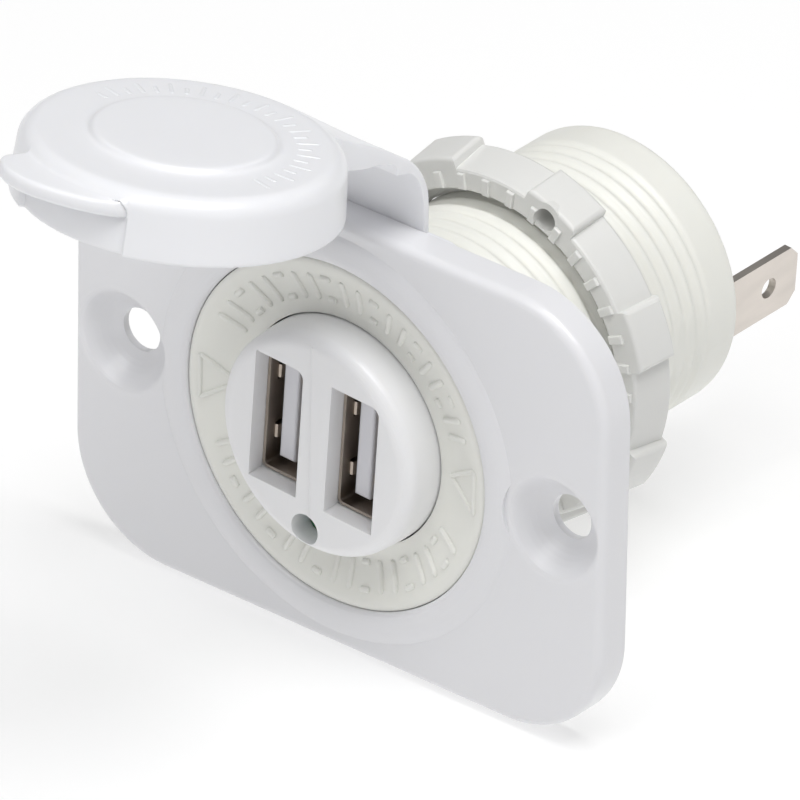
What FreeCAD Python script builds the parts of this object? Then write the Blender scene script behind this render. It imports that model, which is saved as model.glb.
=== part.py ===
import FreeCAD, Part
import math
import os

V = FreeCAD.Vector
os.makedirs("parts", exist_ok=True)

# Panel socket with two charging ports, a faceplate, a flip lid and a clamp nut.
# Millimetres. Origin: barrel axis at the faceplate's rear plane.
# +X right seen from the front, +Y to the rear along the barrel, +Z up.

# ---- faceplate -------------------------------------------------------------
PLATE_W, PLATE_H, PLATE_T = 63.9, 45.5, 3.6
PLATE_CORNER_R = 11.2
PLATE_EDGE_R = 0.95
SCREW_X = 26.0                 # half the screw spacing
SCREW_R = 2.25
SINK_R, SINK_Y = 5.0, -0.75    # dished seat for the screw head
COLLAR_OUT_R, COLLAR_TOP_Y = 21.2, -4.1
FLANGE_SEAT_R, FLANGE_SEAT_Y = 17.95, -1.6
PLATE_BORE_R = 14.45
# ---- socket housing --------------------------------------------------------
FLANGE_R, FLANGE_FRONT_Y = 17.75, -3.65
BARREL_R = 14.2                # over the thread crests
BAND_R = 14.2                  # plain band at the rear end
THREAD_END_Y, BARREL_END_Y = 34.7, 38.6
BARREL_BORE_R = 12.6
FLANGE_BORE_R, FLANGE_BORE_Y1 = 11.75, 9.6
DISH_R, DISH_Y = 17.2, -2.4    # the flange face falls away inward from here
FLAT_X = 13.8                  # the two moulded flats along the threaded length
MODULE_TURN = 3.25             # degrees the socket sits turned in the plate
# ---- port bezel ------------------------------------------------------------
BEZEL_R, BEZEL_FRONT_Y, BEZEL_WALL_T = 11.6, -6.82, 3.3
BEZEL_EDGE_R = 1.5
BEZEL_BORE_R, BEZEL_REAR_Y = 10.9, 9.2
PORT_X, PORT_Z = 4.565, 0.525    # port centres
WIN_W, WIN_H = 5.73, 13.7
LED_X, LED_Z, LED_HOLE_R = -0.4, -9.25, 1.6
# ---- ports -----------------------------------------------------------------
SHELL_W, SHELL_H, SHELL_T = 5.65, 13.3, 0.3
SHELL_FRONT_Y, SHELL_REAR_Y = -4.87, 9.1
TONGUE_X0, TONGUE_X1, TONGUE_H = -1.63, 0.21, 11.1
TONGUE_FRONT_Y = -4.0
# ---- boards ----------------------------------------------------------------
BOARD_T = 1.6
PORT_BOARD_Y = 9.2
CONV_Z = -2.13
# ---- rear cap and blades ---------------------------------------------------
CAP_Y0, CAP_Y1 = 36.0, 38.0
POSITIVE_SIDE = 1
BLADE_X, BLADE_Z, BLADE_W, BLADE_T = 9.95, -2.5, 6.3, 0.8
BLADE_TIP_Y, BLADE_HOLE_R, BLADE_CHAMFER = 52.35, 1.05, 1.1
# ---- clamp nut -------------------------------------------------------------
NUT_Y0, NUT_Y1 = 18.75, 23.3
NUT_R0, NUT_R1, NUT_BORE_R = 17.7, 18.35, 14.26   # outside at the front and at the rear, bore
NUT_LUG_R0, NUT_LUG_R1 = 18.65, 19.25
NUT_MOUTH_R, NUT_RIB_R, NUT_RIB_H = 15.66, 17.3, 0.35
NUT_LUG_DEG = 18.0
NUT_LUGS = (114.0, 67.0, 20.6, -27.2, -71.0, -114.8, -158.6, -202.3)
NUT_PIN_R, NUT_PIN_AT = 1.15, 16.95
NUT_RIBS = 36
# ---- lid -------------------------------------------------------------------
LID_R, LID_DRAFT = 15.45, 0.075      # radius at the rim, and what it loses per mm of height
LID_RIM_Y, LID_TOP_Y, LID_EDGE_R = -3.5, -9.7, 1.8
LID_WALL, LID_BOSS_R, LID_BOSS_Y = 1.4, 8.65, -10.5
TAB_TOP_Y, TAB_T = -8.75, 1.3
LID_OPEN_DEG = 99.0
HINGE_Y, HINGE_Z = -0.19, 27.39
STRAP_W, STRAP_T = 14.4, 0.85


def cyl(r, y0, y1, x=0.0, z=0.0):
    return Part.makeCylinder(r, y1 - y0, V(x, y0, z), V(0, 1, 0))


def box(x0, x1, y0, y1, z0, z1):
    return Part.makeBox(x1 - x0, y1 - y0, z1 - z0, V(x0, y0, z0))


def revolve(points):
    """Closed (radius, y) outline turned about the Y axis."""
    w = Part.makePolygon([V(r, y, 0) for r, y in points + points[:1]])
    return Part.Face(w).revolve(V(0, 0, 0), V(0, 1, 0), 360)


def arc_points(cx, cy, r, a0, a1, n=8):
    return [(cx + r * math.cos(math.radians(a0 + (a1 - a0) * i / n)),
             cy + r * math.sin(math.radians(a0 + (a1 - a0) * i / n))) for i in range(n + 1)]


def edges_at(shape, test):
    return [e for e in shape.Edges if test(e)]


def soft(shape, r, test):
    """Rounds the edges that test picks."""
    picked = edges_at(shape, test)
    return shape.makeFillet(r, picked) if picked else shape


def along_y(e):
    d = e.Vertexes[-1].Point.sub(e.Vertexes[0].Point)
    return abs(d.x) < 1e-6 and abs(d.z) < 1e-6 and abs(d.y) > 1e-6


def at_y(e, y):
    b = e.BoundBox
    return abs(b.YMin - y) < 1e-4 and abs(b.YMax - y) < 1e-4


def turned(shape, deg=MODULE_TURN):
    s = shape.copy()
    s.rotate(V(0, 0, 0), V(0, 1, 0), deg)
    return s


def opened(shape):
    """From the closed place to the open one, about the lid's hinge line."""
    s = shape.copy()
    s.rotate(V(0, HINGE_Y, HINGE_Z), V(1, 0, 0), -LID_OPEN_DEG)
    return s


def write(name, shape):
    if shape.ShapeType == "Compound" and len(shape.Solids) == 1:
        shape = shape.Solids[0]
    shape.exportStep("parts/" + name + ".step")
    print(name, "solids", len(shape.Solids), "valid", shape.isValid(), "volume %.1f" % shape.Volume)


# ============================================================ mounting plate
plate = box(-PLATE_W / 2, PLATE_W / 2, -PLATE_T, 0, -PLATE_H / 2, PLATE_H / 2)
plate = soft(plate, PLATE_CORNER_R, along_y)
plate = soft(plate, PLATE_EDGE_R, lambda e: at_y(e, -PLATE_T))
ring = [(FLANGE_SEAT_R - 1.0, -1.0), (COLLAR_OUT_R, -1.0), (COLLAR_OUT_R, -PLATE_T)]
ring += [(21.02, -3.7), (20.78, -3.81), (20.5, -3.9), (20.15, -3.99), (19.75, -4.06), (19.35, COLLAR_TOP_Y), (18.95, COLLAR_TOP_Y), (18.6, -4.06), (18.32, -3.98), (18.12, -3.86), (18.0, -3.72), (FLANGE_SEAT_R, -3.55)]
ring += [(FLANGE_SEAT_R, -2.4), (FLANGE_SEAT_R - 1.0, -2.4)]
plate = plate.fuse(revolve(ring))
plate = plate.cut(cyl(FLANGE_SEAT_R, -6, FLANGE_SEAT_Y)).cut(cyl(PLATE_BORE_R, -6, 2))
for s in (-1, 1):
    x = s * SCREW_X
    dish = [(0, -6), (SINK_R + 0.7, -6), (SINK_R + 0.7, -PLATE_T), (SINK_R + 0.4, -PLATE_T + 0.04), (SINK_R + 0.15, -PLATE_T + 0.14), (SINK_R - 0.05, -PLATE_T + 0.3),
            (SINK_R - 0.3, -PLATE_T + 0.62), (SINK_R - 0.6, -PLATE_T + 1.05), (SINK_R - 1.0, -PLATE_T + 1.55), (SINK_R - 1.45, -PLATE_T + 2.0), (SINK_R - 1.9, -PLATE_T + 2.35), (SINK_R - 2.3, -PLATE_T + 2.6), (SCREW_R, SINK_Y), (SCREW_R, 1), (0, 1)]
    sink = revolve(dish)
    sink.translate(V(x, 0, 0))
    plate = plate.cut(sink)
plate = plate.removeSplitter()
write("mounting_plate", plate)

# ============================================================ socket housing
h = [(FLANGE_BORE_R, DISH_Y), (DISH_R - 4.6, DISH_Y + 0.02), (DISH_R - 3.8, DISH_Y - 0.12), (DISH_R - 1.0, FLANGE_FRONT_Y + 0.2), (DISH_R - 0.2, FLANGE_FRONT_Y + 0.02)]
h += [(FLANGE_R - 0.4, FLANGE_FRONT_Y), (FLANGE_R - 0.1, FLANGE_FRONT_Y + 0.12), (FLANGE_R, FLANGE_FRONT_Y + 0.4), (FLANGE_R, FLANGE_SEAT_Y), (BARREL_R - 0.45, FLANGE_SEAT_Y),
      (BARREL_R - 0.45, 1.3), (BARREL_R, 1.9), (BARREL_R, THREAD_END_Y - 0.3), (BAND_R, THREAD_END_Y), (BAND_R, BARREL_END_Y - 0.8)]
h += arc_points(BAND_R - 0.8, BARREL_END_Y - 0.8, 0.8, 0, 90, 5)[1:]
h += [(BARREL_BORE_R, BARREL_END_Y), (BARREL_BORE_R, FLANGE_BORE_Y1), (FLANGE_BORE_R, FLANGE_BORE_Y1)]
housing = revolve(h)
for s in (-1, 1):
    housing = housing.cut(box(*( (FLAT_X, 20) if s > 0 else (-20, -FLAT_X) ), 0.2, THREAD_END_Y - 0.3, -8, 8))
# inner ledge that the rear cap sits on
ledge = revolve([(BARREL_BORE_R - 0.6, CAP_Y0 - 1.2), (BARREL_BORE_R + 0.5, CAP_Y0 - 1.2), (BARREL_BORE_R + 0.5, CAP_Y0), (BARREL_BORE_R - 0.6, CAP_Y0)])
housing = housing.fuse(ledge).removeSplitter()
write("socket_housing", turned(housing))

# ============================================================ port bezel
f = BEZEL_FRONT_Y
b = [(0, f), (BEZEL_R - 0.1 - BEZEL_EDGE_R, f)]
b += arc_points(BEZEL_R - 0.1 - BEZEL_EDGE_R, f + BEZEL_EDGE_R, BEZEL_EDGE_R, -90, 0, 9)[1:]
b += [(BEZEL_R, FLANGE_FRONT_Y), (BEZEL_R, BEZEL_REAR_Y), (BEZEL_BORE_R, BEZEL_REAR_Y), (BEZEL_BORE_R, f + BEZEL_WALL_T), (0, f + BEZEL_WALL_T)]
bezel = revolve(b)
for s in (-1, 1):
    w = box(s * PORT_X - WIN_W / 2, s * PORT_X + WIN_W / 2, f - 3, f + 8, PORT_Z - WIN_H / 2, PORT_Z + WIN_H / 2)
    w = soft(w, 0.9, lambda e: along_y(e) and e.CenterOfMass.x > s * PORT_X and e.CenterOfMass.z > PORT_Z)
    bezel = bezel.cut(w)
bezel = bezel.cut(cyl(LED_HOLE_R, f - 3, f + 8, LED_X, LED_Z))
bezel = bezel.removeSplitter()
write("port_bezel", turned(bezel))

# ============================================================ charging ports
for side, s in (("left", -1), ("right", 1)):
    cx = s * PORT_X
    hw, hh = SHELL_W / 2, SHELL_H / 2
    out = soft(box(cx - hw, cx + hw, SHELL_FRONT_Y, SHELL_REAR_Y, PORT_Z - hh, PORT_Z + hh), 0.6, along_y)
    inn = soft(box(cx - hw + SHELL_T, cx + hw - SHELL_T, SHELL_FRONT_Y - 1, SHELL_REAR_Y + 1, PORT_Z - hh + SHELL_T, PORT_Z + hh - SHELL_T), 0.35, along_y)
    shell = out.cut(inn)
    # sprung fingers pressed out of the two wide walls, with the slots around them
    for w in (-1, 1):
        for dz in (-3.3, 3.3):
            z = PORT_Z + dz
            xo = cx + w * hw
            xi = cx + w * (hw - SHELL_T)
            for dzz in (-0.95, 0.7):
                shell = shell.cut(box(min(xo, xi) - 0.1, max(xo, xi) + 0.1, SHELL_FRONT_Y + 1.2, SHELL_FRONT_Y + 6.2, z + dzz, z + dzz + 0.25))
            pts = [V(xi + w * 0.05, SHELL_FRONT_Y + 1.2, z - 0.7), V(xi - w * 0.25, SHELL_FRONT_Y + 1.3, z - 0.7), V(xi - w * 0.5, SHELL_FRONT_Y + 2.0, z - 0.7), V(xi - w * 0.25, SHELL_FRONT_Y + 3.2, z - 0.7), V(xi + w * 0.05, SHELL_FRONT_Y + 5.6, z - 0.7)]
            bump = Part.Face(Part.makePolygon(pts + pts[:1])).extrude(V(0, 0, 1.4))
            shell = shell.fuse(bump)
    shell = shell.removeSplitter()
    write("usb_shell_" + side, turned(shell))

    ins = box(cx - hw + SHELL_T, cx + hw - SHELL_T, 5.6, SHELL_REAR_Y, PORT_Z - hh + SHELL_T, PORT_Z + hh - SHELL_T)
    ins = soft(ins, 0.4, along_y)
    tongue = box(cx + TONGUE_X0, cx + TONGUE_X1, TONGUE_FRONT_Y, 6.0, PORT_Z - TONGUE_H / 2, PORT_Z + TONGUE_H / 2)
    tongue = soft(tongue, 0.3, lambda e: at_y(e, TONGUE_FRONT_Y))
    ins = ins.fuse(tongue)
    pins = []
    for dz in (-3.5, -1.0, 1.0, 3.5):
        y0 = TONGUE_FRONT_Y + (0.6 if abs(dz) > 2 else 1.5)
        z = PORT_Z + dz
        strip = box(cx + TONGUE_X1 - 0.18, cx + TONGUE_X1 + 0.12, y0, 5.6, z - 0.5, z + 0.5)
        tail = box(cx + TONGUE_X1 - 0.18, cx + TONGUE_X1 + 0.12, 5.6, PORT_BOARD_Y + BOARD_T + 1.0, z - 0.3, z + 0.3)
        pin = strip.fuse(tail).removeSplitter()
        pins.append(pin)
        ins = ins.cut(pin)
    ins = ins.removeSplitter()
    write("usb_insulator_" + side, turned(ins))
    write("usb_contacts_" + side, turned(Part.makeCompound(pins)))

# ============================================================ port board
pb = cyl(11.3, PORT_BOARD_Y, PORT_BOARD_Y + BOARD_T)
for s in (-1, 1):
    pb = pb.cut(box(*sorted((s * 11.0, s * 13)), PORT_BOARD_Y - 1, PORT_BOARD_Y + 3, -2, 2))
    for dz in (-3.5, -1.0, 1.0, 3.5):
        x = s * PORT_X + TONGUE_X1 - 0.03
        pb = pb.cut(box(x - 0.25, x + 0.25, PORT_BOARD_Y - 1, PORT_BOARD_Y + 3, PORT_Z + dz - 0.4, PORT_Z + dz + 0.4))
LEAD_R = 0.25
for dx in (-0.6, 0.6):
    pb = pb.cut(cyl(LEAD_R + 0.05, PORT_BOARD_Y - 1, PORT_BOARD_Y + 3, LED_X + dx, LED_Z))
HEADER_X = (-6.0, -2.0, 2.0, 6.0)
for hx in HEADER_X:
    pb = pb.cut(box(hx - 0.37, hx + 0.37, PORT_BOARD_Y - 1, PORT_BOARD_Y + 3, CONV_Z - 2.6 - 0.37, CONV_Z - 2.6 + 0.37))
write("port_board", turned(pb.removeSplitter()))

# status lamp in the back of its hole: a small flat-topped body on two leads
led = cyl(1.5, -4.4, 0.2, LED_X, LED_Z)
led = soft(led, 0.12, lambda e: at_y(e, -4.4))
for dx in (-0.6, 0.6):
    led = led.fuse(cyl(LEAD_R, 0.1, PORT_BOARD_Y + BOARD_T + 0.8, LED_X + dx, LED_Z))
write("status_led", turned(led.removeSplitter()))

# ============================================================ converter board and what is on it
CB_Y0, CB_Y1, CB_HW = 12.4, 33.6, 9.5
ct, cbm = CONV_Z + BOARD_T / 2, CONV_Z - BOARD_T / 2
conv = box(-CB_HW, CB_HW, CB_Y0, CB_Y1, cbm, ct)
conv = soft(conv, 0.8, lambda e: abs(e.BoundBox.XLength) < 1e-6 and abs(e.BoundBox.YLength) < 1e-6 and e.BoundBox.ZLength > 1)
write("converter_board", turned(conv))

# right-angle pins joining the two boards
pins = []
for hx in HEADER_X:
    z0 = CONV_Z - 2.6
    a = box(hx - 0.32, hx + 0.32, PORT_BOARD_Y, CB_Y0 + 2.2, z0 - 0.32, z0 + 0.32)
    c = box(hx - 0.32, hx + 0.32, CB_Y0 + 1.56, CB_Y0 + 2.2, z0 - 0.32, cbm)
    pins.append(a.fuse(c).removeSplitter())
write("board_pins", turned(Part.makeCompound(pins)))

ind = soft(box(-8.2, -0.2, 15.5, 23.5, ct, ct + 4.6), 1.0, lambda e: abs(e.BoundBox.XLength) < 1e-6 and abs(e.BoundBox.YLength) < 1e-6)
ind = soft(ind, 0.5, lambda e: abs(e.BoundBox.ZMin - (ct + 4.6)) < 1e-4)
write("power_inductor", turned(ind))

chip = box(2.0, 6.9, 16.0, 19.9, ct + 0.15, ct + 1.75)
for i in range(4):
    y = 16.0 + 0.35 + i * 1.07
    for x0, x1 in ((0.95, 2.05), (6.85, 7.95)):
        chip = chip.fuse(box(x0, x1, y, y + 0.4, ct + 0.0, ct + 0.45))
write("regulator_chip", turned(chip.removeSplitter()))

cap1 = cyl(3.1, 24.6, 33.0, -4.6, ct + 3.15)
cap1 = soft(cap1, 0.5, lambda e: at_y(e, 24.6) or at_y(e, 33.0))
for dx in (-1.25, 1.25):
    cap1 = cap1.fuse(box(-4.6 + dx - 0.25, -4.6 + dx + 0.25, 33.0 - 0.1, 33.5, ct + 0.0, ct + 3.2))
write("input_capacitor", turned(cap1.removeSplitter()))

cap2 = Part.makeCylinder(3.1, 7.4, V(4.6, 27.4, ct + 0.05), V(0, 0, 1))
cap2 = soft(cap2, 0.5, lambda e: abs(e.BoundBox.ZMin - (ct + 7.45)) < 1e-4 and abs(e.BoundBox.ZMax - (ct + 7.45)) < 1e-4)
cap2 = cap2.fuse(box(1.4, 7.8, 24.2, 30.6, ct, ct + 1.0))
write("output_capacitor", turned(cap2.removeSplitter()))

diode = box(-6.8, -2.4, 17.0, 19.6, cbm - 2.1, cbm - 0.1).fuse(box(-7.6, -1.6, 17.6, 19.0, cbm - 0.5, cbm))
write("rectifier_diode", turned(diode.removeSplitter()))

small = []
for (x, y) in ((1.2, 21.4), (3.4, 21.4), (5.6, 21.4), (7.6, 21.4)):
    small.append(box(x - 0.4, x + 0.4, y - 0.8, y + 0.8, ct, ct + 0.6))
for (x, y) in ((1.2, 16.5), (3.0, 16.5), (4.8, 16.5), (2.1, 20.0), (4.6, 20.0), (1.0, 24.0), (3.4, 24.0)):
    small.append(box(x - 0.6, x + 0.6, y - 0.32, y + 0.32, cbm - 0.55, cbm))
write("chip_parts", turned(Part.makeCompound(small)))

# ============================================================ rear cap and blades
cap = cyl(BARREL_BORE_R - 0.05, CAP_Y0, CAP_Y1)
cap = soft(cap, 0.3, lambda e: at_y(e, CAP_Y1))
for s in (-1, 1):
    cap = cap.cut(box(s * BLADE_X - BLADE_T / 2, s * BLADE_X + BLADE_T / 2, CAP_Y0 - 1, CAP_Y1 + 1, BLADE_Z - BLADE_W / 2, BLADE_Z + BLADE_W / 2))
# polarity marks beside the blades
for s in (-1, 1):
    cap = cap.fuse(box(s * BLADE_X - 1.5, s * BLADE_X + 1.5, CAP_Y1 - 0.2, CAP_Y1 + 0.3, 3.35, 3.85))
cap = cap.fuse(box(POSITIVE_SIDE * BLADE_X - 0.25, POSITIVE_SIDE * BLADE_X + 0.25, CAP_Y1 - 0.2, CAP_Y1 + 0.3, 2.1, 5.1)).removeSplitter()
write("rear_cap", turned(cap))
for name, s in (("terminal_positive", 1), ("terminal_negative", -1)):
    x0, x1 = sorted((s * BLADE_X - BLADE_T / 2, s * BLADE_X + BLADE_T / 2))
    z0, z1, c = BLADE_Z - BLADE_W / 2, BLADE_Z + BLADE_W / 2, BLADE_CHAMFER
    pts = [(CAP_Y0 - 1.0, z0), (BLADE_TIP_Y - c, z0), (BLADE_TIP_Y, z0 + c), (BLADE_TIP_Y, z1 - c), (BLADE_TIP_Y - c, z1), (CAP_Y0 - 1.0, z1), (CAP_Y0 - 1.0, BLADE_Z + 1.2), (29.0, BLADE_Z + 1.2), (29.0, BLADE_Z - 1.2), (CAP_Y0 - 1.0, BLADE_Z - 1.2)]
    blade = Part.Face(Part.makePolygon([V(x0, y, z) for y, z in pts + pts[:1]])).extrude(V(x1 - x0, 0, 0))
    blade = blade.cut(Part.makeCylinder(BLADE_HOLE_R, 3, V(x0 - 1, BLADE_TIP_Y - 4.2, BLADE_Z), V(1, 0, 0)))
    write(name, turned(blade))

# ============================================================ clamp nut
n = [(NUT_BORE_R, NUT_Y0 + 2.6), (NUT_BORE_R + 0.3, NUT_Y0 + 2.3), (NUT_MOUTH_R - 0.25, NUT_Y0 + 2.1), (NUT_MOUTH_R - 0.1, NUT_Y0 + 0.08), (NUT_MOUTH_R + 0.08, NUT_Y0)]
n += [(NUT_R0 - 0.28, NUT_Y0), (NUT_R0 - 0.08, NUT_Y0 + 0.1), (NUT_R0 + 0.03, NUT_Y0 + 0.32), (NUT_R1, NUT_Y1 - 0.35), (NUT_R1 - 0.1, NUT_Y1 - 0.1), (NUT_R1 - 0.35, NUT_Y1), (NUT_BORE_R + 0.5, NUT_Y1), (NUT_BORE_R, NUT_Y1 - 0.5)]
nut = revolve(n)
half = math.radians(NUT_LUG_DEG / 2)
w = 2 * NUT_LUG_R1 * math.sin(half)
cone = revolve([(0, NUT_Y0 - 0.01), (NUT_LUG_R0, NUT_Y0 - 0.01), (NUT_LUG_R1, NUT_Y1 + 0.01), (0, NUT_Y1 + 0.01)])
for deg in NUT_LUGS:
    lug = box(NUT_R0 - 1.2, NUT_LUG_R1 + 1.0, NUT_Y0, NUT_Y1, -w / 2, w / 2)
    lug = lug.common(cone)
    lug = soft(lug, 0.45, lambda e: e.BoundBox.XMin > NUT_R0 + 0.1 and not (e.BoundBox.YLength < 1e-6 and e.BoundBox.ZLength < 1e-6))
    lug.rotate(V(0, 0, 0), V(0, 1, 0), -deg)
    nut = nut.fuse(lug)
for i in range(NUT_RIBS):
    rib = box(NUT_MOUTH_R + 0.02, NUT_RIB_R, NUT_Y0 - NUT_RIB_H, NUT_Y0 + 0.5, -0.42, 0.42)
    rib = soft(rib, 0.12, lambda e: e.BoundBox.YMax < NUT_Y0 - NUT_RIB_H + 1e-4)
    rib.rotate(V(0, 0, 0), V(0, 1, 0), -(62.0 + i * 360.0 / NUT_RIBS))
    nut = nut.fuse(rib)
for deg in (NUT_LUGS[1] + 0.5, NUT_LUGS[5] + 0.5):
    a = math.radians(deg)
    x, z = NUT_PIN_AT * math.cos(a), NUT_PIN_AT * math.sin(a)
    pad = cyl(1.85, NUT_Y0, NUT_Y0 + 0.8, x, z).cut(cyl(NUT_MOUTH_R + 0.02, NUT_Y0 - 1, NUT_Y1))
    nut = nut.fuse(pad).cut(cyl(NUT_PIN_R, NUT_Y0 - 1, NUT_Y0 + 3.2, x, z))
nut = nut.removeSplitter()
write("clamp_nut", nut)

# ============================================================ lid, drawn closed
y0, yt = LID_RIM_Y, LID_TOP_Y
re = LID_R - LID_DRAFT * (y0 - yt - LID_EDGE_R)      # skirt radius where the shoulder starts
skin = [(LID_R - 0.3, y0), (LID_R, y0 - 0.3)]
skin += arc_points(re - LID_EDGE_R, yt + LID_EDGE_R, LID_EDGE_R, 0, -90, 9)
skin += [(12.3, yt + 0.05), (11.2, yt + 0.18), (10.2, yt + 0.36), (LID_BOSS_R + 0.75, yt + 0.42), (LID_BOSS_R + 0.42, yt + 0.3), (LID_BOSS_R + 0.22, yt + 0.05)]
skin += [(LID_BOSS_R + 0.06, LID_BOSS_Y + 0.42), (LID_BOSS_R - 0.06, LID_BOSS_Y + 0.2), (LID_BOSS_R - 0.28, LID_BOSS_Y + 0.05), (LID_BOSS_R - 0.6, LID_BOSS_Y), (0, LID_BOSS_Y)]
p = [(LID_R - LID_WALL, y0)] + skin
p += [(0, yt + 1.45), (12.75, yt + 1.45), (12.75, y0 - 0.9), (13.35, y0 - 0.6), (13.35, yt + 1.45), (LID_R - LID_WALL - 0.25, yt + 1.45)]
cover = revolve(p)
whole = revolve([(0, y0)] + skin)
# shallow recess in the skirt, and the thumb tab over it
RECESS_DEG = (-32.0, 19.4)
wedge = [V(0, 0, 0)] + [V(30 * math.sin(math.radians(d)), 0, -30 * math.cos(math.radians(d))) for d in (RECESS_DEG[0], -6.0, RECESS_DEG[1])]
cut = Part.Face(Part.makePolygon(wedge + wedge[:1])).extrude(V(0, 8, 0))
cut.translate(V(0, TAB_TOP_Y + TAB_T, 0))
cut = cut.cut(revolve([(0, y0 + 2), (LID_R - 0.5, y0 + 2), (LID_R - 0.5, y0), (LID_R - 0.5 - LID_DRAFT * 5, y0 - 5), (0, y0 - 5)]))
outline = [(4.95, -14.0), (4.35, -14.95), (3.2, -15.85), (1.85, -16.55), (0.4, -17.05), (-1.2, -17.5), (-3.0, -17.78), (-4.8, -17.8), (-6.6, -17.42), (-8.0, -16.72), (-8.75, -15.9), (-9.0, -14.9), (-8.4, -12.6)]
spline = Part.BSplineCurve()
spline.interpolate([V(x, TAB_TOP_Y, z) for x, z in outline])
root = Part.makePolygon([V(-8.4, TAB_TOP_Y, -12.6), V(0, TAB_TOP_Y, -11.0), V(4.95, TAB_TOP_Y, -14.0)])
tab = Part.Face(Part.Wire([spline.toShape()] + root.Edges)).extrude(V(0, TAB_T, 0))
tab = soft(tab, 0.5, lambda e: at_y(e, TAB_TOP_Y) and e.BoundBox.ZMin < -17.0)
tab = soft(tab, 0.35, lambda e: at_y(e, TAB_TOP_Y + TAB_T) and e.BoundBox.ZMin < -17.0)
tab = tab.cut(cyl(14.2, -12, 2))
cover = cover.cut(cut).fuse(tab).removeSplitter()
write("lid_cover", opened(cover))

# the strap's upper run, from the skirt over the plate's top edge to the bend
hw = STRAP_W / 2
outer = [(-9.5, 12.6), (-9.28, 13.5), (-8.96, 14.4), (-8.6, 15.2), (-7.72, 16.93), (-6.7, 18.95), (-5.6, 21.1), (-4.6, 23.07), (-3.77, 24.7), (-2.98, 25.85), (-2.1, 26.78), (-1.5, 27.27), (-0.86, 27.66), (-0.3, 27.95), (0.1, 27.82)]
inner = [(HINGE_Y, HINGE_Z), (-0.45, 27.0), (-1.16, 26.5), (-1.85, 25.85), (-2.3, 25.06), (-2.42, 24.2), (-2.59, 23.18), (-3.05, 23.1), (-3.66, 22.62), (-3.98, 21.95), (-4.06, 21.2), (-4.3, 20.4), (-4.42, 19.6), (-4.44, 18.4), (-4.62, 17.2), (-4.95, 15.7), (-5.3, 14.4), (-5.7, 12.6)]
arm = Part.Face(Part.makePolygon([V(-hw, y, z) for y, z in outer + inner + outer[:1]])).extrude(V(STRAP_W, 0, 0))
arm = arm.cut(whole)
knuckle = Part.makeCylinder(0.45, STRAP_W, V(-hw, HINGE_Y, HINGE_Z), V(1, 0, 0))
write("lid_arm", opened(arm.fuse(knuckle).removeSplitter()))

# ============================================================ lid strap: leg and ring behind the plate
ringp = cyl(19.2, 0, STRAP_T)
neck = box(-12.4, 12.4, 0, STRAP_T, 0, 22.4)
neck = soft(neck, 3.0, lambda e: along_y(e) and e.BoundBox.ZMin > 20)
leg = box(-hw, hw, 0, STRAP_T, 15, HINGE_Z - 0.8)
strap = ringp.fuse(neck).fuse(leg)
strap = strap.cut(cyl(PLATE_BORE_R, -1, 2)).removeSplitter()
write("lid_strap", strap)
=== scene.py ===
import bpy, bmesh
import math
from mathutils import Vector, Matrix, geometry


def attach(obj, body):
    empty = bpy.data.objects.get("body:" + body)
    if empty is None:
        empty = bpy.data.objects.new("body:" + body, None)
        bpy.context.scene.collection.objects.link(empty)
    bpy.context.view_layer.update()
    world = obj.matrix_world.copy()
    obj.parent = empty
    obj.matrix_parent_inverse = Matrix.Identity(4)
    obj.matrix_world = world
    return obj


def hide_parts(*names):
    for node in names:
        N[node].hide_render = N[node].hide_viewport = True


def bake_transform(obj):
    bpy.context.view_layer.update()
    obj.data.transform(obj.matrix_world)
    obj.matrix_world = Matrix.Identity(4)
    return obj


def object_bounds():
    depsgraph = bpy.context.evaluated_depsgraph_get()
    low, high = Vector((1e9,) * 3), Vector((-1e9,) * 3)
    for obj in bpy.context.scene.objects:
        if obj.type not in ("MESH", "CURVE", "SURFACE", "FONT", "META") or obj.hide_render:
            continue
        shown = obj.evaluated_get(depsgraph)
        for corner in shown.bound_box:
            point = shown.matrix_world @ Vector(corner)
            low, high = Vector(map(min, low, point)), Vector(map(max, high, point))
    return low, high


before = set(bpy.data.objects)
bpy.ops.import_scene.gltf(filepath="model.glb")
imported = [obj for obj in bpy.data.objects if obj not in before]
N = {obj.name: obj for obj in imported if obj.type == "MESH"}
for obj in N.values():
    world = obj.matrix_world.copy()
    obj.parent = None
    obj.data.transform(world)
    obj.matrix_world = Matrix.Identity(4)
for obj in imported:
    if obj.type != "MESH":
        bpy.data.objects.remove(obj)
LO0, HI0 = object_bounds()
MM = 0.001

# ------------------------------------------------------------------ materials


def principled(name, color, rough, **kw):
    m = bpy.data.materials.new(name)
    m.use_nodes = True
    nt = m.node_tree
    b = nt.nodes["Principled BSDF"]
    b.inputs["Roughness"].default_value = rough
    b.inputs["Base Color"].default_value = (*color, 1)
    for k, v in kw.items():
        b.inputs[k].default_value = v
    return m, nt, b


def node(nt, kind, **kw):
    n = nt.nodes.new(kind)
    for k, v in kw.items():
        setattr(n, k, v)
    return n


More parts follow.
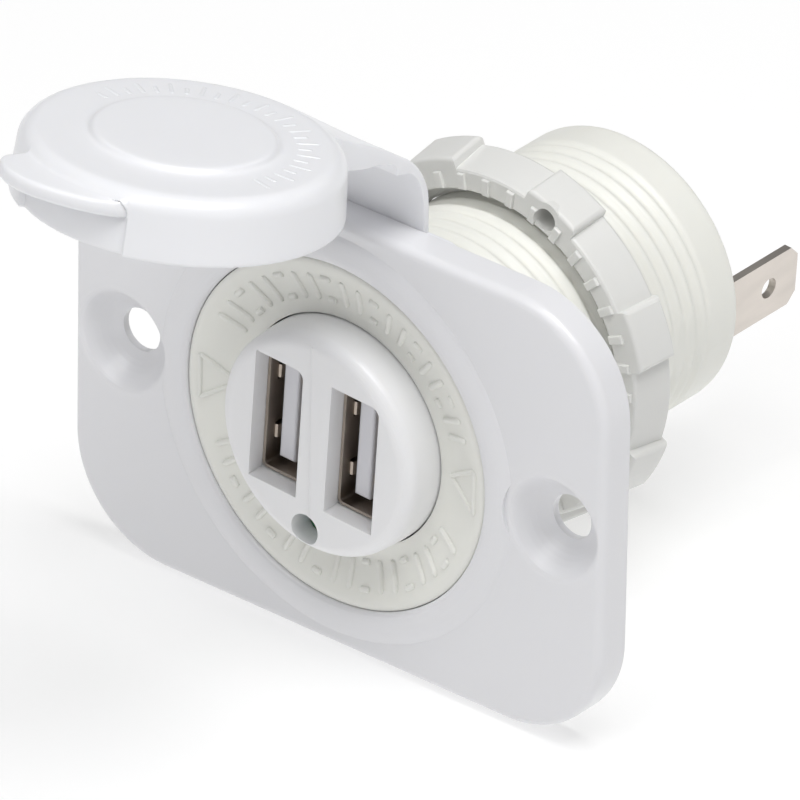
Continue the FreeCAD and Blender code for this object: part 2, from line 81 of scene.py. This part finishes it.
def plastic(name, color, rough, tint=0.006, grain=0.012, scale=900.0, sss=0.12, coat=0.0, spec=0.5, speck=0.0, bump_dist=0.00004):
    """Moulded plastic: faint cloudy colour, fine surface grain, a little light let through."""
    m, nt, b = principled(name, color, rough)
    b.inputs["Subsurface Weight"].default_value = sss
    b.inputs["Subsurface Radius"].default_value = (1.0, 0.95, 0.85)
    b.inputs["Subsurface Scale"].default_value = 0.0012
    b.inputs["Specular IOR Level"].default_value = spec
    b.inputs["Coat Weight"].default_value = coat
    b.inputs["Coat Roughness"].default_value = 0.12
    tc = node(nt, "ShaderNodeTexCoord")
    cloud = node(nt, "ShaderNodeTexNoise")
    cloud.inputs["Scale"].default_value = 60.0
    cloud.inputs["Detail"].default_value = 4.0
    nt.links.new(tc.outputs["Object"], cloud.inputs["Vector"])
    ramp = node(nt, "ShaderNodeValToRGB")
    lo = [max(0, c * (1 - tint)) for c in color]
    hi = [min(1, c * (1 + tint)) for c in color]
    ramp.color_ramp.elements[0].position = 0.2
    ramp.color_ramp.elements[0].color = (*lo, 1)
    ramp.color_ramp.elements[1].position = 0.8
    ramp.color_ramp.elements[1].color = (*hi, 1)
    nt.links.new(cloud.outputs["Fac"], ramp.inputs["Fac"])
    out = ramp.outputs["Color"]
    if speck > 0:
        dots = node(nt, "ShaderNodeTexVoronoi")
        dots.inputs["Scale"].default_value = 260.0
        dots.inputs["Randomness"].default_value = 1.0
        nt.links.new(tc.outputs["Object"], dots.inputs["Vector"])
        pick = node(nt, "ShaderNodeValToRGB")
        pick.color_ramp.elements[0].position = 0.0
        pick.color_ramp.elements[0].color = (0.35, 0.30, 0.24, 1)
        pick.color_ramp.elements[1].position = 0.028
        pick.color_ramp.elements[1].color = (1, 1, 1, 1)
        nt.links.new(dots.outputs["Distance"], pick.inputs["Fac"])
        keep = node(nt, "ShaderNodeTexNoise")
        keep.inputs["Scale"].default_value = 75.0
        nt.links.new(tc.outputs["Object"], keep.inputs["Vector"])
        gate = node(nt, "ShaderNodeValToRGB")
        gate.color_ramp.elements[0].position = 0.60
        gate.color_ramp.elements[0].color = (0, 0, 0, 1)
        gate.color_ramp.elements[1].position = 0.64
        gate.color_ramp.elements[1].color = (speck, speck, speck, 1)
        nt.links.new(keep.outputs["Fac"], gate.inputs["Fac"])
        mul = node(nt, "ShaderNodeMix", data_type="RGBA", blend_type="MULTIPLY")
        nt.links.new(gate.outputs["Color"], mul.inputs[0])
        nt.links.new(out, mul.inputs[6])
        nt.links.new(pick.outputs["Color"], mul.inputs[7])
        out = mul.outputs[2]
    nt.links.new(out, b.inputs["Base Color"])
    fine = node(nt, "ShaderNodeTexNoise")
    fine.inputs["Scale"].default_value = scale
    fine.inputs["Detail"].default_value = 3.0
    nt.links.new(tc.outputs["Object"], fine.inputs["Vector"])
    bump = node(nt, "ShaderNodeBump")
    bump.inputs["Strength"].default_value = grain * 10
    bump.inputs["Distance"].default_value = bump_dist
    nt.links.new(fine.outputs["Fac"], bump.inputs["Height"])
    nt.links.new(bump.outputs["Normal"], b.inputs["Normal"])
    rr = node(nt, "ShaderNodeMapRange")
    rr.inputs["To Min"].default_value = max(0.02, rough - 0.02)
    rr.inputs["To Max"].default_value = rough + 0.02
    nt.links.new(cloud.outputs["Fac"], rr.inputs["Value"])
    nt.links.new(rr.outputs["Result"], b.inputs["Roughness"])
    return m


def metal(name, color, rough, scale=400.0, stretch=(1, 1, 1), grain=0.1, tint=0.10):
    m, nt, b = principled(name, color, rough)
    b.inputs["Metallic"].default_value = 1.0
    tc = node(nt, "ShaderNodeTexCoord")
    mp = node(nt, "ShaderNodeMapping")
    mp.inputs["Scale"].default_value = stretch
    nt.links.new(tc.outputs["Object"], mp.inputs["Vector"])
    n = node(nt, "ShaderNodeTexNoise")
    n.inputs["Scale"].default_value = scale
    n.inputs["Detail"].default_value = 5.0
    nt.links.new(mp.outputs["Vector"], n.inputs["Vector"])
    ramp = node(nt, "ShaderNodeValToRGB")
    ramp.color_ramp.elements[0].position = 0.25
    ramp.color_ramp.elements[0].color = (*[c * (1 - tint) for c in color], 1)
    ramp.color_ramp.elements[1].position = 0.75
    ramp.color_ramp.elements[1].color = (*[min(1, c * (1 + tint)) for c in color], 1)
    nt.links.new(n.outputs["Fac"], ramp.inputs["Fac"])
    nt.links.new(ramp.outputs["Color"], b.inputs["Base Color"])
    rr = node(nt, "ShaderNodeMapRange")
    rr.inputs["To Min"].default_value = rough * 0.8
    rr.inputs["To Max"].default_value = rough * 1.3
    nt.links.new(n.outputs["Fac"], rr.inputs["Value"])
    nt.links.new(rr.outputs["Result"], b.inputs["Roughness"])
    bump = node(nt, "ShaderNodeBump")
    bump.inputs["Strength"].default_value = grain
    bump.inputs["Distance"].default_value = 0.00003
    nt.links.new(n.outputs["Fac"], bump.inputs["Height"])
    nt.links.new(bump.outputs["Normal"], b.inputs["Normal"])
    return m


MAT = {
    "plate": plastic("plate_gloss", (0.79, 0.79, 0.81), 0.30, coat=0.18),
    "lid": plastic("lid_gloss", (0.86, 0.865, 0.89), 0.30, coat=0.2),
    "housing": plastic("housing_satin", (0.84, 0.84, 0.79), 0.42, sss=0.18),
    "bezel": plastic("bezel_satin", (0.87, 0.87, 0.88), 0.36, coat=0.08),
    "nut": plastic("nut_satin", (0.74, 0.74, 0.72), 0.42),
    "tongue": plastic("tongue_matte", (0.80, 0.80, 0.84), 0.45),
    "shell": metal("shell_nickel", (0.50, 0.44, 0.38), 0.32),
    "gold": metal("contact_gold", (0.80, 0.62, 0.32), 0.3),
    "blade": metal("blade_tin", (0.70, 0.65, 0.60), 0.38, stretch=(1, 0.3, 1)),
    "board": plastic("board_mask", (0.03, 0.20, 0.07), 0.35, sss=0.0),
    "lamp": plastic("lamp_green", (0.01, 0.13, 0.05), 0.35, sss=0.0, coat=0.2),
    "ferrite": plastic("ferrite_grey", (0.10, 0.10, 0.11), 0.6, sss=0.0),
    "chip": plastic("chip_black", (0.03, 0.03, 0.035), 0.5, sss=0.0),
    "fired": plastic("fired_tan", (0.40, 0.33, 0.24), 0.45, sss=0.0),
    "can": metal("can_aluminium", (0.80, 0.81, 0.82), 0.25),
}
USE = {
    "mounting_plate": "plate", "lid_cover": "lid", "lid_arm": "lid", "lid_strap": "lid", "socket_housing": "housing", "rear_cap": "housing",
    "port_bezel": "bezel", "clamp_nut": "nut", "usb_shell_left": "shell", "usb_shell_right": "shell", "usb_insulator_left": "tongue",
    "usb_insulator_right": "tongue", "usb_contacts_left": "gold", "usb_contacts_right": "gold", "terminal_positive": "blade",
    "terminal_negative": "blade", "port_board": "board", "converter_board": "board", "status_led": "lamp", "board_pins": "gold",
    "power_inductor": "ferrite", "regulator_chip": "chip", "rectifier_diode": "chip", "input_capacitor": "can", "output_capacitor": "can",
    "chip_parts": "fired",
}
for name, key in USE.items():
    o = N[name]
    if not o.material_slots:
        o.data.materials.append(None)
    for s in o.material_slots:
        s.link = "OBJECT"
        s.material = MAT[key]

# ------------------------------------------------------------------ mesh helpers


def finish_mesh(name, verts, faces, mat, body, slot, angle=38.0, weld=True):
    me = bpy.data.meshes.new(name)
    me.from_pydata([tuple(c * MM for c in v) for v in verts], [], faces)
    bm = bmesh.new()
    bm.from_mesh(me)
    if weld:
        bmesh.ops.remove_doubles(bm, verts=bm.verts, dist=2e-7)
        bmesh.ops.dissolve_degenerate(bm, edges=bm.edges, dist=1e-7)
    bmesh.ops.recalc_face_normals(bm, faces=bm.faces)
    bm.to_mesh(me)
    bm.free()
    me.shade_smooth()
    me.set_sharp_from_angle(angle=math.radians(angle))
    o = bpy.data.objects.new(name, me)
    bpy.context.scene.collection.objects.link(o)
    me.materials.append(MAT[mat])
    if body:
        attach(o, body)
    return o


def grid(P, close_u=True, close_v=False, caps=False):
    """P: rows of points. Rows run along u, points of a row along v."""
    nu, nv = len(P), len(P[0])
    verts = [p for row in P for p in row]
    faces = []
    for i in range(nu if close_u else nu - 1):
        a, c = i * nv, ((i + 1) % nu) * nv
        for j in range(nv if close_v else nv - 1):
            k = (j + 1) % nv
            faces.append((a + j, a + k, c + k, c + j))
    if caps:
        faces.append(tuple(range(nv)))
        faces.append(tuple((nu - 1) * nv + j for j in reversed(range(nv))))
    return verts, faces


def smooth(t):
    t = max(0.0, min(1.0, t))
    return t * t * (3 - 2 * t)


def lerp_list(pts, t):
    """Value of a sorted (t, value) list at t."""
    if t <= pts[0][0]:
        return pts[0][1]
    for (t0, v0), (t1, v1) in zip(pts, pts[1:]):
        if t <= t1:
            return v0 + (v1 - v0) * (t - t0) / (t1 - t0)
    return pts[-1][1]


def resample(pts, n):
    """n points evenly spaced along a polyline, rounded by a Catmull-Rom pass first."""
    q = [pts[0]] + list(pts) + [pts[-1]]
    dense = []
    for i in range(1, len(q) - 2):
        for k in range(8):
            t = k / 8.0
            p0, p1, p2, p3 = q[i - 1], q[i], q[i + 1], q[i + 2]
            dense.append(tuple(0.5 * (2 * p1[m] + (p2[m] - p0[m]) * t + (2 * p0[m] - 5 * p1[m] + 4 * p2[m] - p3[m]) * t * t + (3 * p1[m] - p0[m] - 3 * p2[m] + p3[m]) * t ** 3) for m in range(len(p1))))
    dense.append(tuple(pts[-1]))
    d = [0.0]
    for a, c in zip(dense, dense[1:]):
        d.append(d[-1] + math.dist(a, c))
    out = []
    for i in range(n):
        s = d[-1] * i / (n - 1)
        j = 0
        while j < len(d) - 2 and d[j + 1] < s:
            j += 1
        f = (s - d[j]) / max(1e-9, d[j + 1] - d[j])
        out.append(tuple(dense[j][m] + (dense[j + 1][m] - dense[j][m]) * f for m in range(len(dense[j]))))
    return out


def ridge(path, at, w, h, base=-0.05):
    """A low rounded bead along path. at(p) gives the surface point and its outward normal, in mm."""
    path = resample(path, max(4, len(path) * 4))
    rows = []
    S = [at(p) for p in path]
    for i, (c, n) in enumerate(S):
        a, d = S[max(0, i - 1)][0], S[min(len(S) - 1, i + 1)][0]
        t = (d - a).normalized()
        sd = t.cross(n).normalized()
        end = 1.0 if 0 < i < len(S) - 1 else 0.45
        rows.append([tuple(c + sd * (w * k * end) + n * (base if abs(k) == 1 else h * f * end)) for k, f in ((-1, 0), (-0.82, 0.45), (-0.5, 0.88), (0, 1.0), (0.5, 0.88), (0.82, 0.45), (1, 0))])
    v, f = grid(rows, close_u=False)
    n0, k = len(rows[0]), len(v)
    f.append(tuple(range(n0)))
    f.append(tuple(reversed(range(k - n0, k))))
    return v, f


def join(parts):
    V, F = [], []
    for v, f in parts:
        k = len(V)
        V += list(v)
        F += [tuple(i + k for i in q) for q in f]
    return V, F


TURN = math.radians(3.25)


def polar(r, deg, y):
    a = math.radians(deg)
    return (r * math.cos(a), y, r * math.sin(a))


# ------------------------------------------------------------------ housing: dished flange, threaded barrel, plain band
PITCH, DEPTH, CREST, FLAT = 1.654, 0.42, 14.2, 13.8
DISH = [(11.75, -2.4), (12.7, -2.4), (13.3, -2.44), (13.9, -2.56), (14.6, -2.78), (15.4, -3.08), (16.2, -3.37), (16.8, -3.55), (17.2, -3.63), (17.42, -3.65)]


def dish_y(r):
    return lerp_list(DISH, r)


def barrel_r(deg, y):
    ph = (y + PITCH * (deg - 50.0) / 360.0 - 13.47) / PITCH
    c = 0.5 - 0.5 * math.cos(2 * math.pi * ph)
    c = max(0.0, c) ** 0.85
    fade = smooth((y - 1.6) / 0.8) * (1 - smooth((y - 33.6) / 0.9))
    r = CREST - DEPTH * c * fade - 0.42 * (1 - smooth((y - 1.4) / 0.5))
    rel = math.radians(deg) + TURN
    cx = abs(math.cos(rel))
    flat = FLAT + (CREST - FLAT) * smooth((y - 31.5) / 3.2)
    if cx > 0.5:
        lim = flat / cx
        k = 0.10
        h = max(0.0, k - abs(r - lim)) / k
        r = min(r, lim) - h * h * k * 0.25
    # mould parting line along both sides
    off = abs((rel + math.pi / 2) % math.pi - math.pi / 2 + math.radians(7.0)) * 14.2
    r += 0.045 * math.exp(-(off / 0.10) ** 2) * smooth((y - 2) / 1)
    return r


ys = [1.3 + (34.9 - 1.3) * i / 166 for i in range(167)]
rim_in = [(17.78, -3.6), (17.86, -3.5), (17.89, -3.3), (17.89, -2.4), (17.75, -1.6), (13.75, -1.6), (13.75, -0.2)]
band = [(None, 35.6), (None, 36.6), (None, 37.4), (None, 37.8)] + [(13.4 + 0.8 * math.cos(math.radians(a)), 37.8 + 0.8 * math.sin(math.radians(a))) for a in (15, 30, 45, 60, 75, 90)]
inner = [(12.75, 38.6), (12.6, 38.45), (12.6, 36.0), (12.0, 36.0), (12.0, 34.8), (12.6, 34.8), (12.6, 9.6), (11.75, 9.6)]
rows = []
NT = 400
for i in range(NT):
    deg = 360.0 * i / NT
    row = [polar(r, deg, y) for r, y in DISH + rim_in]
    row += [polar(barrel_r(deg, y), deg, y) for y in ys]
    row += [polar(barrel_r(deg, y) if r is None else r, deg, y) for r, y in band + inner]
    rows.append(row)
housing = finish_mesh("housing_shell", *grid(rows, close_u=True, close_v=True), "housing", "socket", "housing_plastic", 50)
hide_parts("socket_housing")


def on_dish(p):
    r, deg = p
    a = math.radians(deg)
    e = 0.05
    k = (dish_y(r + e) - dish_y(r - e)) / (2 * e)
    n = Vector((-k * math.cos(a), 1, -k * math.sin(a))).normalized() * -1
    if n.y > 0:
        n = -n
    return Vector(polar(r, deg, dish_y(r))), n


# plain raised marks round the flange: ticks and bars, and a plain triangle on each side
marks = []
TICK = 0.34


def bar(deg, r0, r1):
    marks.append(ridge([(r0, deg), ((r0 + r1) / 2, deg), (r1, deg)], on_dish, TICK, 0.30))


def dash(d0, d1, r):
    n = max(3, int(abs(d1 - d0) / 2) + 1)
    marks.append(ridge([(r, d0 + (d1 - d0) * i / (n - 1)) for i in range(n)], on_dish, TICK, 0.30))


def run(start, step, count):
    """A plain band of bars, each third one swapped for two short dashes across."""
    for k in range(count):
        d = start + step * k
        if k % 3 == 2:
            dash(d + 2.1, d - 2.1, 15.95)
            dash(d + 2.1, d - 2.1, 13.45)
        else:
            bar(d, 13.2, 16.2)


run(153.0, -7.1, 20)
run(205.0, 7.1, 19)


def tri(side):
    """A plain triangle between the two runs of marks, its point towards the centre."""
    ends = [(side * 16.55, 2.35), (side * 12.9, 0.0), (side * 16.55, -2.35)]
    for k in range(3):
        (xa, za), (xb, zb) = ends[k], ends[(k + 1) % 3]
        path = []
        for i in range(7):
            x, z = xa + (xb - xa) * i / 6, za + (zb - za) * i / 6
            g = math.degrees(math.atan2(z, x))
            path.append((math.hypot(x, z), g + 360 if side < 0 and g < 0 else g))
        marks.append(ridge(path, on_dish, 0.26, 0.26))


tri(-1)
tri(1)
v, f = join(marks)
finish_mesh("flange_marks", v, f, "housing", "socket", "housing_plastic", 60, weld=False)

# faint parting seam down the bezel's face, between the windows
finish_mesh("bezel_seam", *ridge([(-0.4, 10.6), (-0.4, 6.0), (-0.4, 0.0), (-0.4, -4.0), (-0.4, -7.62)], lambda p: (Vector((p[0], -6.82, p[1])), Vector((0, -1, 0))), 0.10, 0.05), "bezel", "socket", "bezel_plastic", 60, weld=False)

# ------------------------------------------------------------------ lid
HINGE = Vector((0, -0.19, 27.39))
OPEN = math.radians(99.0)
RIM_Y, HT, LID_R, DRAFT = -3.5, 6.2, 15.45, 0.075


def lid_open(x, y, z):
    """A point given on the closed lid, moved to where the open lid holds it."""
    dy, dz = y - HINGE.y, z - HINGE.z
    return (x, HINGE.y + dy * math.cos(OPEN) + dz * math.sin(OPEN), HINGE.z - dy * math.sin(OPEN) + dz * math.cos(OPEN))


def lid_point(r, deg, h):
    """deg runs from the tab's side towards +X, h is the height over the rim."""
    a = math.radians(deg)
    return lid_open(r * math.sin(a), RIM_Y - h, -r * math.cos(a))


TOPS = [(0, 6.78), (2.5, 6.78), (5.0, 6.78), (7.2, 6.78), (7.9, 6.778), (8.12, 6.765), (8.28, 6.735), (8.4, 6.68), (8.5, 6.60), (8.59, 6.50), (8.68, 6.40), (8.79, 6.32), (8.94, 6.26), (9.15, 6.22), (9.5, 6.20), (10.2, 6.19), (11.2, 6.19), (12.0, 6.19), (12.7, 6.19)]
SH = 1.8
RE = LID_R - DRAFT * (HT - SH)
TAB = [(-32.5, 15.0), (-31.6, 15.8), (-30.6, 17.0), (-29.4, 17.75), (-27.5, 18.15), (-24.0, 18.45), (-20.0, 18.55), (-15.1, 18.4), (-9.6, 18.0), (-3.9, 17.5), (1.3, 17.05), (6.4, 16.65), (11.4, 16.3), (15.0, 15.95), (17.6, 15.7), (19.2, 15.5), (20.4, 15.3), (21.5, 15.1)]


def lid_row(deg):
    row = [(r, h) for r, h in TOPS]
    rt = lerp_list(TAB, deg)
    w = min(smooth((deg + 32.2) / 2.2), 1 - smooth((deg - 18.3) / 2.9))
    rt = max(rt, 15.45)
    rec = 0.5 * smooth((deg + 29.8) / 0.8) * (1 - smooth((deg - 20.2) / 0.8))
    # shoulder
    for i in range(13):
        a = math.radians(90 - 90 * i / 12)
        r0, h0 = RE - SH + SH * math.cos(a), HT - SH + SH * math.sin(a)
        t = i / 12
        if t < 0.42:
            a2 = math.radians(90 - 90 * t / 0.72)
            r1, h1 = RE - SH + SH * math.cos(a2), HT - SH + SH * math.sin(a2)
        else:
            u_ = (t - 0.42) / 0.58
            a2 = math.radians(90 - 90 * 0.42 / 0.72)
            rs, hs = RE - SH + SH * math.cos(a2), HT - SH + SH * math.sin(a2)
            r1 = rs + (15.35 - rs) * u_
            h1 = hs + (5.32 - hs) * (1 - max(0.0, 1 - u_) ** 1.9)
        row.append((r0 * (1 - w) + r1 * w, h0 * (1 - w) + h1 * w))
    # tab top, lip and underside, which fall flat on the skirt where there is no tab
    for i in range(22):
        t = i / 21
        h0 = 4.38 - 0.95 * t
        r0 = LID_R - DRAFT * h0 - rec * smooth((4.2 - h0) / 0.25)
        if i < 6:
            u_ = (i + 1) / 6
            r1, h1 = 15.35 + (rt - 0.5 - 15.35) * u_, 5.32 - 0.10 * u_ - 0.02
        elif i < 16:
            g = math.radians(90 - 180 * (i - 5) / 11)
            r1, h1 = rt - 0.5 + 0.5 * math.cos(g), 4.44 + 0.78 * math.sin(g)
        else:
            u_ = (i - 15) / 6
            r1, h1 = (rt - 0.5) + (14.62 - rt + 0.5) * u_, 3.66 - 0.10 * u_
        row.append((r0 * (1 - w) + r1 * w, h0 * (1 - w) + h1 * w))
    for i in range(10):
        h = 3.2 - 2.85 * i / 9
        row.append((LID_R - DRAFT * h - rec, h))
    row += [(LID_R - rec - 0.03, 0.17), (LID_R - rec - 0.13, 0.04), (LID_R - rec - 0.3, 0.0), (14.15, 0.0), (14.05, 0.08), (13.82, 4.6), (13.7, 4.75), (13.35, 4.75), (13.35, 0.6), (13.2, 0.56), (12.9, 0.75), (12.75, 0.95), (12.75, 4.75), (6.0, 4.75), (0.0, 4.75)]
    return row


degs = sorted(set([round(-180 + 2.0 * i, 3) for i in range(180)] + [round(-34 + 0.4 * i, 3) for i in range(18)] + [-27 + 1.0 * i for i in range(46)] + [-29.6, -29.2, 20.4, 20.7, 21.3]))
rows = [[lid_point(r, d, h) for r, h in lid_row(d)] for d in degs]
lid = finish_mesh("lid_shell", *grid(rows, close_u=True, close_v=False), "lid", "lid", "lid_plastic", 42)
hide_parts("lid_cover")


def on_lid(p):
    r, deg = p
    c = Vector(lid_point(r, deg, lerp_list(TOPS, r)))
    n = (Vector(lid_point(r, deg, 9)) - Vector(lid_point(r, deg, 8))).normalized()
    return c, n


faint = []
for k in range(26):
    d = 78.0 + k * 7.4
    faint.append(ridge([(10.3, d), (11.3, d), (12.5 if k % 2 == 0 else 11.7, d)], on_lid, 0.22, 0.07))
v, f = join(faint)
finish_mesh("lid_marks", v, f, "lid", "lid", "lid_plastic", 60, weld=False)

# ------------------------------------------------------------------ strap: one soft moulding from the ring behind the plate to the lid
arm_out = [(-9.56, 12.0), (-9.62, 12.6), (-9.55, 13.5), (-9.27, 14.4), (-8.90, 15.2), (-8.02, 16.93), (-6.86, 18.95), (-5.65, 21.1), (-4.6, 23.07), (-3.77, 24.7), (-2.98, 25.85), (-2.1, 26.78), (-1.5, 27.27), (-0.86, 27.7)]
arm_in = [(-5.8, 12.0), (-5.7, 12.6), (-5.3, 14.4), (-4.95, 15.7), (-4.62, 17.2), (-4.44, 18.4), (-4.42, 19.6), (-4.3, 20.4), (-4.06, 21.2), (-3.98, 21.95), (-3.66, 22.62), (-3.05, 23.1), (-2.59, 23.18), (-2.42, 24.2), (-2.3, 25.06), (-1.85, 25.85), (-1.16, 26.5)]
o_line = [lid_open(0, y, z)[1:] for y, z in arm_out] + [(0.45, 27.45), (0.66, 26.7), (0.76, 25.8), (0.80, 24.8), (0.82, 23.6), (0.82, 21.5), (0.82, 19.0)]
i_line = [lid_open(0, y, z)[1:] for y, z in arm_in] + [(-0.52, 27.6), (-0.24, 26.7), (-0.08, 25.8), (0.0, 24.8), (0.03, 23.6), (0.03, 21.5), (0.03, 19.0)]
"""Both lines are walked together; the cusp under the bend stays a point of the inner one."""
k_cusp = 12
o_pts = resample(o_line, 90)
i_pts = resample(i_line[:k_cusp + 1], 44)[:-1] + resample(i_line[k_cusp:], 47)
RC = 0.22
closed_top = [(z, y) for y, z in arm_out]


def droop(x, i):
    """How far the top of strap station i, at x, moves when it runs round the lid instead of straight across."""
    oy, oz = o_pts[i]
    dy, dz = oy - HINGE.y, oz - HINGE.z
    y = HINGE.y + dy * math.cos(OPEN) - dz * math.sin(OPEN)
    z = HINGE.z + dy * math.sin(OPEN) + dz * math.cos(OPEN)
    k = 1 - smooth((z - 15.0) / 7.0)
    rr = z + (math.hypot(x, z) - z) * k
    d = lerp_list(closed_top, min(rr, 27.0)) - lerp_list(closed_top, z)
    v0, v1 = Vector(lid_open(0, y, z)), Vector(lid_open(0, y + d, z))
    return (v1 - v0) if k > 0 else Vector((0, 0, 0))


rows = []
for st, ((oy, oz), (iy, iz)) in enumerate(zip(o_pts, i_pts)):
    a, c = Vector((0, oy, oz)), Vector((0, iy, iz))
    w = (c - a).length
    d = (c - a).normalized()
    rc = min(RC, w * 0.4)
    ri = min(0.10, w * 0.3)
    loop = []
    hw = 7.2
    for x in (-6.2, -4.7, -3.1, -1.5, 0.0, 1.5, 3.1, 4.7, 6.2):
        loop.append(Vector((x, 0, 0)) + a + droop(x, st))
    for g in (0, 22.5, 45, 67.5, 90):
        gr = math.radians(g)
        loop.append(Vector((hw - rc + rc * math.sin(gr), 0, 0)) + a + droop(hw, st) + d * (rc - rc * math.cos(gr)))
    for g in (0, 22.5, 45, 67.5, 90):
        gr = math.radians(g)
        loop.append(Vector((hw - ri + ri * math.cos(gr), 0, 0)) + c - d * (ri - ri * math.sin(gr)))
    for x in (6.2, 3.1, 0.0, -3.1, -6.2):
        loop.append(Vector((x, 0, 0)) + c)
    for g in (0, 22.5, 45, 67.5, 90):
        gr = math.radians(g)
        loop.append(Vector((-hw + ri - ri * math.sin(gr), 0, 0)) + c - d * (ri - ri * math.cos(gr)))
    for g in (0, 22.5, 45, 67.5, 90):
        gr = math.radians(g)
        loop.append(Vector((-hw + rc - rc * math.cos(gr), 0, 0)) + a + droop(hw, st) + d * (rc - rc * math.sin(gr)))
    rows.append([tuple(p) for p in loop])
strap = finish_mesh("strap_band", *grid(rows, close_u=False, close_v=True, caps=True), "lid", None, "lid_plastic", 40)
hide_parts("lid_arm")
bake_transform(strap)

rows = []
for i in range(360):
    a = math.radians(i)
    ca, sa = math.cos(a), math.sin(a)
    ro = 19.2
    if sa > 0.2:
        # neck: a square shoulder 24.8 wide up to z 22.4, its corners rounded
        best = 30.0
        rr = 19.2
        while rr < 27.0:
            x, z = rr * ca, rr * sa
            inside = abs(x) <= 12.4 and z <= 22.4
            if inside and abs(x) > 9.4 and z > 19.4:
                inside = math.hypot(abs(x) - 9.4, z - 19.4) <= 3.0
            if not inside:
                break
            rr += 0.02
        ro = max(19.2, rr)
    prof = [(14.45, 0.12), (14.57, 0.0), (ro - 0.12, 0.0), (ro - 0.03, 0.04), (ro, 0.14), (ro, 0.71), (ro - 0.03, 0.81), (ro - 0.12, 0.85), (14.57, 0.85), (14.45, 0.73)]
    rows.append([(r * ca, y, r * sa) for r, y in prof])
ring = finish_mesh("strap_ring", *grid(rows, close_u=True, close_v=True), "lid", "socket", "lid_plastic", 40)
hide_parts("lid_strap")

# ------------------------------------------------------------------ camera
K = 0.973
A, E, ROLL, DIST = math.radians(39.183), math.radians(30.421), math.radians(0.956), 1609.0
SC, CX, CY = 10.497, 335.096, 434.276
b = Vector((math.sin(A) * math.cos(E), -math.cos(A) * math.cos(E), math.sin(E)))
r = Vector((math.cos(A), math.sin(A), 0))
u = b.cross(r)
r2 = r * math.cos(ROLL) + u * math.sin(ROLL)
u2 = -r * math.sin(ROLL) + u * math.cos(ROLL)
x0, y0 = (CX - 400) / SC, (400 - CY) / SC
eye = (-x0 * r2 - y0 * u2 + DIST * b) * K + Vector((0, -3.653, 0))
cam_data = bpy.data.cameras.new("camera")
cam_data.sensor_width = 36.0
cam_data.lens = SC * DIST / 800.0 * 36.0
cam_data.clip_start, cam_data.clip_end = 0.05, 20.0
cam = bpy.data.objects.new("camera", cam_data)
bpy.context.scene.collection.objects.link(cam)
m = Matrix((r2, u2, b)).transposed().to_4x4()
m.translation = eye * MM
cam.matrix_world = m
bpy.context.scene.camera = cam

# ------------------------------------------------------------------ floor and light
floor_z = LO0.z - 0.0004
me = bpy.data.meshes.new("floor")
bm = bmesh.new()
bmesh.ops.create_grid(bm, x_segments=8, y_segments=8, size=3.0)
bm.to_mesh(me)
bm.free()
floor = bpy.data.objects.new("floor", me)
floor.location = (0, 0, floor_z)
bpy.context.scene.collection.objects.link(floor)
fm, nt, bs = principled("floor_pale", (0.50, 0.50, 0.50), 0.9)
bs.inputs["Emission Color"].default_value = (1, 1, 1, 1)
bs.inputs["Emission Strength"].default_value = 0.53
floor.data.materials.append(fm)

world = bpy.data.worlds.new("studio")
bpy.context.scene.world = world
world.use_nodes = True
wn = world.node_tree
bg = wn.nodes["Background"]
bg.inputs["Strength"].default_value = 0.20
wtc = wn.nodes.new("ShaderNodeTexCoord")
sep = wn.nodes.new("ShaderNodeSeparateXYZ")
wn.links.new(wtc.outputs["Generated"], sep.inputs["Vector"])
wr = wn.nodes.new("ShaderNodeMapRange")
wr.inputs["From Min"].default_value = -0.2
wr.inputs["From Max"].default_value = 1.0
wn.links.new(sep.outputs["Z"], wr.inputs["Value"])
wramp = wn.nodes.new("ShaderNodeValToRGB")
wramp.color_ramp.elements[0].position = 0.0
wramp.color_ramp.elements[0].color = (0.80, 0.80, 0.80, 1)
wramp.color_ramp.elements[1].position = 1.0
wramp.color_ramp.elements[1].color = (1, 1, 1, 1)
wn.links.new(wr.outputs["Result"], wramp.inputs["Fac"])
wn.links.new(wramp.outputs["Color"], bg.inputs["Color"])


def area(name, loc, aim, size, power, color=(1, 1, 1)):
    l = bpy.data.lights.new(name, "AREA")
    l.shape = "RECTANGLE"
    l.size, l.size_y = size
    l.energy = power
    l.color = color
    o = bpy.data.objects.new(name, l)
    o.location = loc
    o.rotation_mode = "QUATERNION"
    o.rotation_quaternion = (Vector(aim) - Vector(loc)).to_track_quat("-Z", "Y")
    bpy.context.scene.collection.objects.link(o)
    return o


area("key_top", (0.23, -0.04, 0.82), (0, 0, 0.01), (0.5, 0.5), 5.3)
area("key_front", (-0.05, -0.62, 0.76), (0, 0, 0), (0.6, 0.6), 2.6)
area("fill_right", (0.80, -0.25, 0.25), (0, 0, 0), (0.4, 0.4), 0.2)
area("rim_back", (0.1, 0.70, 0.50), (0, 0, 0), (0.4, 0.3), 0.1)

bpy.context.scene.view_settings.view_transform = "Standard"
bpy.context.scene.view_settings.look = "None"
